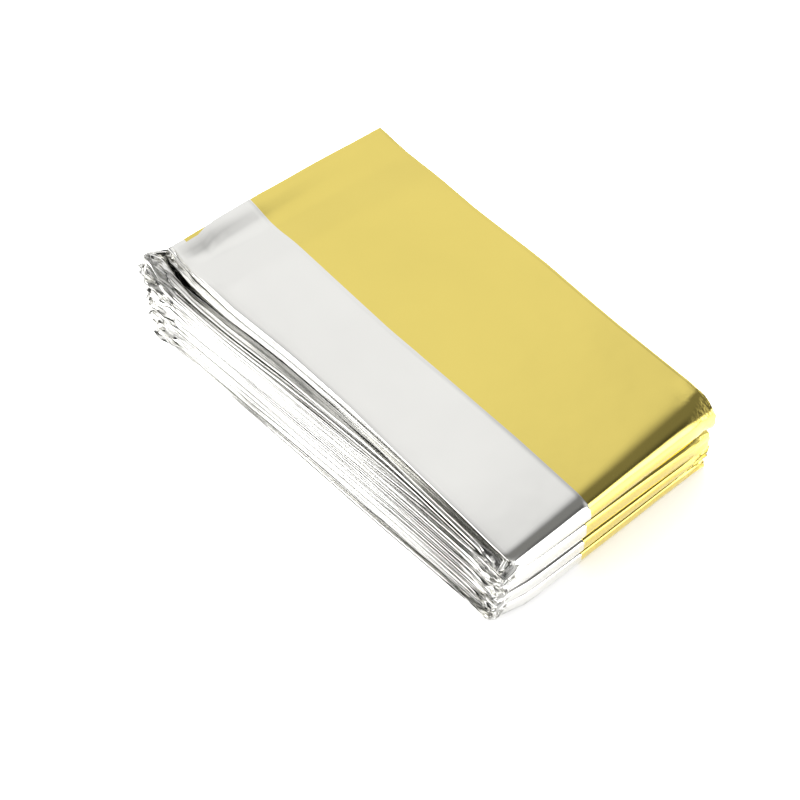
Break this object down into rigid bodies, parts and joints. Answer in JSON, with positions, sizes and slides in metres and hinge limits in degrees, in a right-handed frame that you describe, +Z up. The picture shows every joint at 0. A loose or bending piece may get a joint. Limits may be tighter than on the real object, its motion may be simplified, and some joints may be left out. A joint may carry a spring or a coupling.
{
  "type": "emergency foil blanket",
  "caption": "Thin metallised film blanket, gold on one face and silver on the other, pleated and folded back and forth into a flat packet.",
  "frame": {"origin": "middle of the packet's box, on the surface that its flat underside rests on", "axes": "+X along the long edges towards the end with the round folds only, +Y towards the gold side, away from the fanned pleats, +Z up out of the top with the silver flap"},
  "size_m": [0.133, 0.0829, 0.0275],
  "materials": {
    "metallised_film": "bright mirror-like film, gold lacquer on one face and bare silver on the other, lightly creased"
  },
  "bodies": {
    "root": {"foil_blanket": "metallised_film"}
  },
  "joints": []
}
